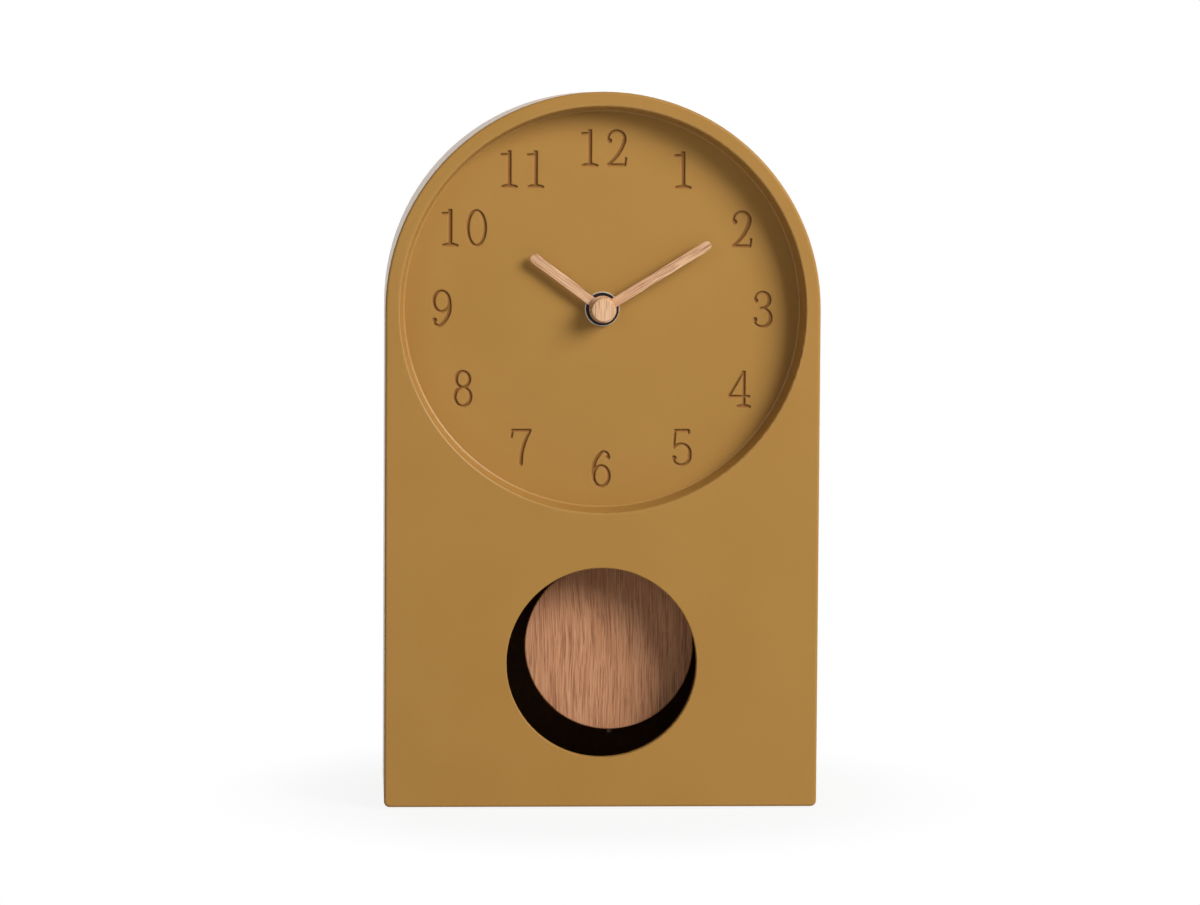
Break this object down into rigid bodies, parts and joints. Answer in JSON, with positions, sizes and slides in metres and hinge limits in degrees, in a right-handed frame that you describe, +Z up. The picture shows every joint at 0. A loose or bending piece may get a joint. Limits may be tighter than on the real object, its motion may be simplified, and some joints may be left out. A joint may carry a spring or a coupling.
{
  "type": "desk pendulum clock",
  "caption": "Arch-topped desk clock in matt mustard plastic with wooden hands over a sunken engraved dial and a wooden disc pendulum behind a round window.",
  "frame": {"origin": "middle of the footprint, on the plane the feet stand on", "axes": "+Z up, the dial looks along -Y, +X to the right of someone reading the dial"},
  "size_m": [0.15, 0.07, 0.248],
  "materials": {
    "case_plastic": "matt mustard",
    "black_plastic": "matt black",
    "pale_wood": "fine oak, clear matt lacquer",
    "foot_rubber": "matt",
    "steel": "plated",
    "brass": "turned",
    "black_nickel": "glossy black",
    "battery_jacket": "printed jacket, no lettering",
    "board_laminate": "solder mask",
    "copper_wire": "enamelled copper",
    "gear_plastic": "natural acetal",
    "magnet_ferrite": "ferrite"
  },
  "bodies": {
    "case": {"front_case": "case_plastic", "dial": "case_plastic", "back_cover": "black_plastic", "cover_screws": "steel", "feet": "foot_rubber", "movement_front_housing": "black_plastic", "movement_rear_housing": "black_plastic", "housing_screws": "steel", "threaded_bushing": "brass", "dial_gasket": "foot_rubber", "nut_washer": "steel", "mounting_nut": "black_nickel", "negative_contact": "steel", "positive_contact": "steel", "circuit_board": "board_laminate", "quartz_crystal": "steel", "driver_chip": "black_plastic", "stator": "steel", "coil_bobbin": "gear_plastic", "coil_winding": "copper_wire", "train_bridge": "gear_plastic", "bridge_screws": "steel", "drive_coil_bobbin": "gear_plastic", "drive_coil_winding": "copper_wire", "pivot_pin": "steel", "pivot_clip": "steel"},
    "rotor": {"rotor": "gear_plastic", "rotor_magnet": "magnet_ferrite"},
    "first_wheel": {"first_wheel": "gear_plastic"},
    "second_wheel": {"second_wheel": "gear_plastic"},
    "third_wheel": {"third_wheel": "gear_plastic"},
    "centre_wheel": {"centre_wheel": "gear_plastic"},
    "minute_hand": {"minute_shaft": "brass", "clutch_washer": "steel", "minute_hand": "pale_wood", "hand_cap": "pale_wood"},
    "minute_wheel": {"minute_wheel": "gear_plastic"},
    "hour_hand": {"hour_wheel": "gear_plastic", "hour_hand": "pale_wood"},
    "setting_knob": {"setting_arbor": "gear_plastic", "setting_knob": "black_plastic"},
    "pendulum": {"pendulum_lever": "black_plastic", "drive_magnet": "magnet_ferrite", "pendulum_rod": "steel", "pendulum_bob": "pale_wood", "bob_keeper": "black_plastic", "keeper_screws": "steel"},
    "battery": {"aa_battery": "battery_jacket"}
  },
  "joints": [
    {"name": "minute_hand_turn", "type": "hinge", "parent": "case", "child": "minute_hand", "pos_m": [0, -0.0166, 0.173], "axis": [0, 1, 0], "continuous": true},
    {"name": "hour_hand_turn", "type": "hinge", "parent": "case", "child": "hour_hand", "pos_m": [0, -0.01825, 0.173], "axis": [0, 1, 0], "continuous": true},
    {"name": "minute_wheel_turn", "type": "hinge", "parent": "case", "child": "minute_wheel", "pos_m": [0.00902, -0.0166, 0.16972], "axis": [0, 1, 0], "continuous": true},
    {"name": "setting_knob_turn", "type": "hinge", "parent": "case", "child": "setting_knob", "pos_m": [0.01804, -0.0166, 0.173], "axis": [0, 1, 0], "continuous": true},
    {"name": "rotor_spin", "type": "hinge", "parent": "case", "child": "rotor", "pos_m": [-0.01289, -0.0106, 0.16922], "axis": [0, 1, 0], "continuous": true},
    {"name": "first_wheel_turn", "type": "hinge", "parent": "case", "child": "first_wheel", "pos_m": [-0.01098, -0.0106, 0.17448], "axis": [0, 1, 0], "continuous": true},
    {"name": "second_wheel_turn", "type": "hinge", "parent": "case", "child": "second_wheel", "pos_m": [-0.00993, -0.01205, 0.18039], "axis": [0, 1, 0], "continuous": true},
    {"name": "third_wheel_turn", "type": "hinge", "parent": "case", "child": "third_wheel", "pos_m": [-0.00156, -0.0135, 0.18186], "axis": [0, 1, 0], "continuous": true},
    {"name": "centre_wheel_turn", "type": "hinge", "parent": "case", "child": "centre_wheel", "pos_m": [0, -0.01495, 0.173], "axis": [0, 1, 0], "continuous": true},
    {"name": "pendulum_swing", "type": "hinge", "parent": "case", "child": "pendulum", "pos_m": [0, 0.0015, 0.133], "axis": [0, -1, 0], "range_deg": [-12.56, 7.43]},
    {"name": "battery_slide", "type": "slide", "parent": "case", "child": "battery", "axis": [0, 1, 0], "range_m": [0, 0.056]}
  ],
  "couplings": [
    {"joint": "hour_hand_turn", "follows": "minute_hand_turn", "ratio": 0.083333},
    {"joint": "minute_wheel_turn", "follows": "minute_hand_turn", "ratio": -0.33333},
    {"joint": "setting_knob_turn", "follows": "minute_hand_turn", "ratio": 1},
    {"joint": "first_wheel_turn", "follows": "rotor_spin", "ratio": -0.16667},
    {"joint": "second_wheel_turn", "follows": "rotor_spin", "ratio": 0.033333},
    {"joint": "third_wheel_turn", "follows": "rotor_spin", "ratio": -0.0044444},
    {"joint": "centre_wheel_turn", "follows": "rotor_spin", "ratio": 0.00055556}
  ]
}
